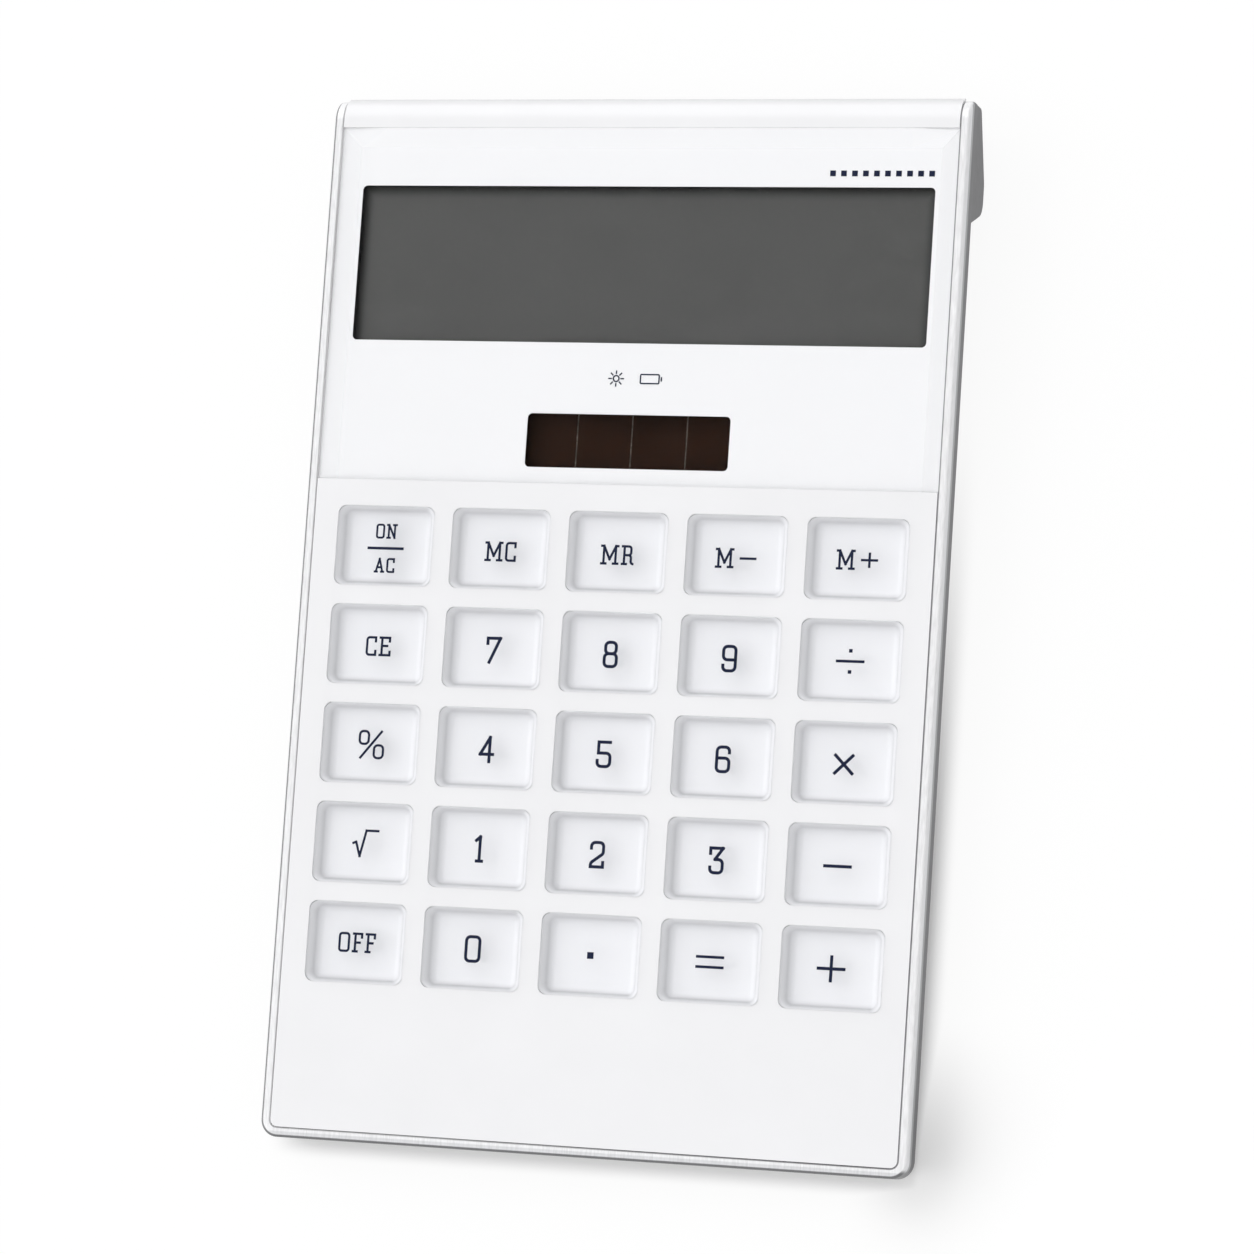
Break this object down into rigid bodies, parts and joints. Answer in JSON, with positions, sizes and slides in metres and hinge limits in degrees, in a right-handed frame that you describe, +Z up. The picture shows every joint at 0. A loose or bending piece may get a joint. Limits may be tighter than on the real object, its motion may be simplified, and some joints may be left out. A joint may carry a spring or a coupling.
{
  "type": "desk calculator",
  "caption": "Slim white desk calculator in a silver frame, with clear keys, a wide display under a clear panel, a solar cell and a wedge-shaped rear foot.",
  "frame": {"origin": "on the desk, under the middle of the calculator's box", "axes": "+Z up from the desk, +X to the user's right, +Y away from the user towards the display"},
  "size_m": [0.11, 0.1748, 0.015],
  "materials": {
    "white_plastic": "fine satin moulded white",
    "silver_plastic": "silver paint on plastic",
    "clear_plastic": "polished clear acrylic",
    "white_print": "white print",
    "polariser_film": "dark grey film",
    "display_glass": "polished",
    "reflector_film": "brushed reflective film",
    "gasket_foam": "matt foam",
    "inner_plastic": "moulded black",
    "ribbon_film": "amber film",
    "solar_glass": "polished",
    "solar_film": "dark brown coating",
    "red_wire": "smooth insulation",
    "black_wire": "smooth insulation",
    "mat_rubber": "matt silicone",
    "carbon": "matt carbon",
    "board": "coated board",
    "chip_resin": "matt resin",
    "screw_steel": "plated",
    "cell_steel": "bright nickel",
    "contact_steel": "nickel plated",
    "foot_rubber": "matt"
  },
  "bodies": {
    "case": {"battery_wire_black": "black_wire", "battery_wire_red": "red_wire", "board_contacts": "carbon", "board_screws": "screw_steel", "carbon_pills": "carbon", "case_screws": "screw_steel", "cell_can": "cell_steel", "cell_cap": "cell_steel", "cell_gasket": "inner_plastic", "chip_cover": "chip_resin", "contact_negative": "contact_steel", "contact_positive": "contact_steel", "display_gasket": "gasket_foam", "display_lens": "clear_plastic", "display_ribbon": "ribbon_film", "front_cover": "white_plastic", "front_feet": "foot_rubber", "keypad_mat": "mat_rubber", "lcd_front_glass": "display_glass", "lcd_front_polariser": "polariser_film", "lcd_holder": "inner_plastic", "lcd_rear_glass": "display_glass", "lcd_reflector": "reflector_film", "main_board": "board", "rear_cover": "silver_plastic", "rear_feet": "foot_rubber", "side_frame": "silver_plastic", "solar_glass": "solar_glass", "solar_strips": "solar_film", "solar_wire_black": "black_wire", "solar_wire_red": "red_wire", "window_mask": "white_print"},
    "battery_door": {"battery_door": "silver_plastic"},
    "key_0": {"key_0": "clear_plastic"},
    "key_1": {"key_1": "clear_plastic"},
    "key_2": {"key_2": "clear_plastic"},
    "key_3": {"key_3": "clear_plastic"},
    "key_4": {"key_4": "clear_plastic"},
    "key_5": {"key_5": "clear_plastic"},
    "key_6": {"key_6": "clear_plastic"},
    "key_7": {"key_7": "clear_plastic"},
    "key_8": {"key_8": "clear_plastic"},
    "key_9": {"key_9": "clear_plastic"},
    "key_ce": {"key_ce": "clear_plastic"},
    "key_divide": {"key_divide": "clear_plastic"},
    "key_equals": {"key_equals": "clear_plastic"},
    "key_m_minus": {"key_m_minus": "clear_plastic"},
    "key_m_plus": {"key_m_plus": "clear_plastic"},
    "key_mc": {"key_mc": "clear_plastic"},
    "key_minus": {"key_minus": "clear_plastic"},
    "key_mr": {"key_mr": "clear_plastic"},
    "key_off": {"key_off": "clear_plastic"},
    "key_on_ac": {"key_on_ac": "clear_plastic"},
    "key_percent": {"key_percent": "clear_plastic"},
    "key_plus": {"key_plus": "clear_plastic"},
    "key_point": {"key_point": "clear_plastic"},
    "key_root": {"key_root": "clear_plastic"},
    "key_times": {"key_times": "clear_plastic"}
  },
  "joints": [
    {"name": "battery_door_slide", "type": "slide", "parent": "case", "child": "battery_door", "axis": [-1, 0, 0], "range_m": [0, 0.032]},
    {"name": "key_0_press", "type": "slide", "parent": "case", "child": "key_0", "axis": [0, 0.039, -0.9992], "range_m": [0, 0.001], "stiffness_N_per_m": 400, "springref_m": -0.0005, "deforming": ["keypad_mat", "carbon_pills"]},
    {"name": "key_1_press", "type": "slide", "parent": "case", "child": "key_1", "axis": [0, 0.039, -0.9992], "range_m": [0, 0.001], "stiffness_N_per_m": 400, "springref_m": -0.0005, "deforming": ["keypad_mat", "carbon_pills"]},
    {"name": "key_2_press", "type": "slide", "parent": "case", "child": "key_2", "axis": [0, 0.039, -0.9992], "range_m": [0, 0.001], "stiffness_N_per_m": 400, "springref_m": -0.0005, "deforming": ["keypad_mat", "carbon_pills"]},
    {"name": "key_3_press", "type": "slide", "parent": "case", "child": "key_3", "axis": [0, 0.039, -0.9992], "range_m": [0, 0.001], "stiffness_N_per_m": 400, "springref_m": -0.0005, "deforming": ["keypad_mat", "carbon_pills"]},
    {"name": "key_4_press", "type": "slide", "parent": "case", "child": "key_4", "axis": [0, 0.039, -0.9992], "range_m": [0, 0.001], "stiffness_N_per_m": 400, "springref_m": -0.0005, "deforming": ["keypad_mat", "carbon_pills"]},
    {"name": "key_5_press", "type": "slide", "parent": "case", "child": "key_5", "axis": [0, 0.039, -0.9992], "range_m": [0, 0.001], "stiffness_N_per_m": 400, "springref_m": -0.0005, "deforming": ["keypad_mat", "carbon_pills"]},
    {"name": "key_6_press", "type": "slide", "parent": "case", "child": "key_6", "axis": [0, 0.039, -0.9992], "range_m": [0, 0.001], "stiffness_N_per_m": 400, "springref_m": -0.0005, "deforming": ["keypad_mat", "carbon_pills"]},
    {"name": "key_7_press", "type": "slide", "parent": "case", "child": "key_7", "axis": [0, 0.039, -0.9992], "range_m": [0, 0.001], "stiffness_N_per_m": 400, "springref_m": -0.0005, "deforming": ["keypad_mat", "carbon_pills"]},
    {"name": "key_8_press", "type": "slide", "parent": "case", "child": "key_8", "axis": [0, 0.039, -0.9992], "range_m": [0, 0.001], "stiffness_N_per_m": 400, "springref_m": -0.0005, "deforming": ["keypad_mat", "carbon_pills"]},
    {"name": "key_9_press", "type": "slide", "parent": "case", "child": "key_9", "axis": [0, 0.039, -0.9992], "range_m": [0, 0.001], "stiffness_N_per_m": 400, "springref_m": -0.0005, "deforming": ["keypad_mat", "carbon_pills"]},
    {"name": "key_ce_press", "type": "slide", "parent": "case", "child": "key_ce", "axis": [0, 0.039, -0.9992], "range_m": [0, 0.001], "stiffness_N_per_m": 400, "springref_m": -0.0005, "deforming": ["keypad_mat", "carbon_pills"]},
    {"name": "key_divide_press", "type": "slide", "parent": "case", "child": "key_divide", "axis": [0, 0.039, -0.9992], "range_m": [0, 0.001], "stiffness_N_per_m": 400, "springref_m": -0.0005, "deforming": ["keypad_mat", "carbon_pills"]},
    {"name": "key_equals_press", "type": "slide", "parent": "case", "child": "key_equals", "axis": [0, 0.039, -0.9992], "range_m": [0, 0.001], "stiffness_N_per_m": 400, "springref_m": -0.0005, "deforming": ["keypad_mat", "carbon_pills"]},
    {"name": "key_m_minus_press", "type": "slide", "parent": "case", "child": "key_m_minus", "axis": [0, 0.039, -0.9992], "range_m": [0, 0.001], "stiffness_N_per_m": 400, "springref_m": -0.0005, "deforming": ["keypad_mat", "carbon_pills"]},
    {"name": "key_m_plus_press", "type": "slide", "parent": "case", "child": "key_m_plus", "axis": [0, 0.039, -0.9992], "range_m": [0, 0.001], "stiffness_N_per_m": 400, "springref_m": -0.0005, "deforming": ["keypad_mat", "carbon_pills"]},
    {"name": "key_mc_press", "type": "slide", "parent": "case", "child": "key_mc", "axis": [0, 0.039, -0.9992], "range_m": [0, 0.001], "stiffness_N_per_m": 400, "springref_m": -0.0005, "deforming": ["keypad_mat", "carbon_pills"]},
    {"name": "key_minus_press", "type": "slide", "parent": "case", "child": "key_minus", "axis": [0, 0.039, -0.9992], "range_m": [0, 0.001], "stiffness_N_per_m": 400, "springref_m": -0.0005, "deforming": ["keypad_mat", "carbon_pills"]},
    {"name": "key_mr_press", "type": "slide", "parent": "case", "child": "key_mr", "axis": [0, 0.039, -0.9992], "range_m": [0, 0.001], "stiffness_N_per_m": 400, "springref_m": -0.0005, "deforming": ["keypad_mat", "carbon_pills"]},
    {"name": "key_off_press", "type": "slide", "parent": "case", "child": "key_off", "axis": [0, 0.039, -0.9992], "range_m": [0, 0.001], "stiffness_N_per_m": 400, "springref_m": -0.0005, "deforming": ["keypad_mat", "carbon_pills"]},
    {"name": "key_on_ac_press", "type": "slide", "parent": "case", "child": "key_on_ac", "axis": [0, 0.039, -0.9992], "range_m": [0, 0.001], "stiffness_N_per_m": 400, "springref_m": -0.0005, "deforming": ["keypad_mat", "carbon_pills"]},
    {"name": "key_percent_press", "type": "slide", "parent": "case", "child": "key_percent", "axis": [0, 0.039, -0.9992], "range_m": [0, 0.001], "stiffness_N_per_m": 400, "springref_m": -0.0005, "deforming": ["keypad_mat", "carbon_pills"]},
    {"name": "key_plus_press", "type": "slide", "parent": "case", "child": "key_plus", "axis": [0, 0.039, -0.9992], "range_m": [0, 0.001], "stiffness_N_per_m": 400, "springref_m": -0.0005, "deforming": ["keypad_mat", "carbon_pills"]},
    {"name": "key_point_press", "type": "slide", "parent": "case", "child": "key_point", "axis": [0, 0.039, -0.9992], "range_m": [0, 0.001], "stiffness_N_per_m": 400, "springref_m": -0.0005, "deforming": ["keypad_mat", "carbon_pills"]},
    {"name": "key_root_press", "type": "slide", "parent": "case", "child": "key_root", "axis": [0, 0.039, -0.9992], "range_m": [0, 0.001], "stiffness_N_per_m": 400, "springref_m": -0.0005, "deforming": ["keypad_mat", "carbon_pills"]},
    {"name": "key_times_press", "type": "slide", "parent": "case", "child": "key_times", "axis": [0, 0.039, -0.9992], "range_m": [0, 0.001], "stiffness_N_per_m": 400, "springref_m": -0.0005, "deforming": ["keypad_mat", "carbon_pills"]}
  ]
}
